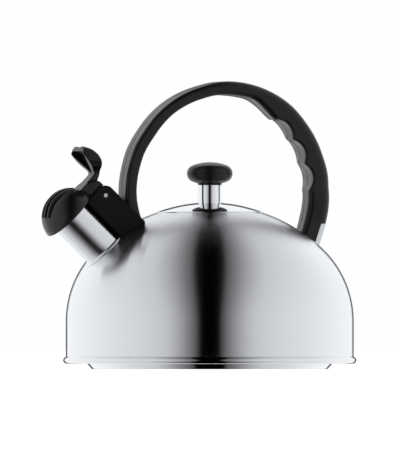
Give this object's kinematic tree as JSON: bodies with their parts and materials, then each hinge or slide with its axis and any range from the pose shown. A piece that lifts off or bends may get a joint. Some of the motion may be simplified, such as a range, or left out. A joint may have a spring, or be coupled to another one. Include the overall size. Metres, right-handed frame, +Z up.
{
  "type": "stovetop whistling kettle",
  "caption": "Dome-shaped stainless steel stovetop kettle with a side spout, a flip-up whistle cap with a thumb lever, a lift-off lid and an arched black handle.",
  "frame": {"origin": "centre of the round foot, on the burner plane", "axes": "+Z up along the body's axis, -X towards the spout and the whistle, handle arch in the XZ plane"},
  "size_m": [0.2411, 0.22, 0.2159],
  "materials": {
    "satin_steel": "satin stainless steel, brushed round the body",
    "mirror_steel": "mirror-polished stainless steel",
    "polished_steel": "polished stainless steel",
    "chrome_ferrule": "bright chrome plate",
    "bracket_steel": "bright stainless steel strip",
    "screw_steel": "plain stainless steel fasteners",
    "spring_steel": "drawn spring steel",
    "whistle_steel": "pressed stainless steel",
    "aluminium_core": "bare aluminium",
    "brass_insert": "turned brass",
    "black_plastic": "fine satin moulded heat-proof plastic",
    "handle_plastic": "fine satin moulded heat-proof plastic"
  },
  "bodies": {
    "kettle": {"body_shell": "satin_steel", "base_pan": "satin_steel", "heat_disc": "aluminium_core", "base_capsule": "satin_steel", "spout_tube": "polished_steel", "spout_bracket": "bracket_steel", "spout_housing": "black_plastic", "housing_screws": "screw_steel", "hinge_pin": "screw_steel", "whistle_spring": "spring_steel", "handle_near_half": "handle_plastic", "handle_far_half": "handle_plastic", "handle_screws": "screw_steel", "rear_bracket": "bracket_steel", "rear_screws": "screw_steel"},
    "lid": {"lid_shell": "mirror_steel", "lid_collar": "mirror_steel", "knob_ferrule": "chrome_ferrule", "knob": "black_plastic", "knob_insert": "brass_insert", "lid_screw": "screw_steel", "lid_washer": "screw_steel"},
    "whistle": {"whistle_cap": "black_plastic", "thumb_lever": "black_plastic", "whistle_plate": "whistle_steel", "whistle_cup": "whistle_steel", "whistle_retainer": "spring_steel"}
  },
  "joints": [
    {"name": "whistle_flip", "type": "hinge", "parent": "kettle", "child": "whistle", "pos_m": [-0.08558, 0, 0.13001], "axis": [0, 1, 0], "range_deg": [0, 42], "stiffness_Nm_per_rad": 0.02, "springref_deg": -20.05, "deforming": ["whistle_spring"]},
    {"name": "lid_lift", "type": "slide", "parent": "kettle", "child": "lid", "axis": [0, 0, 1], "range_m": [0, 0.045]}
  ]
}
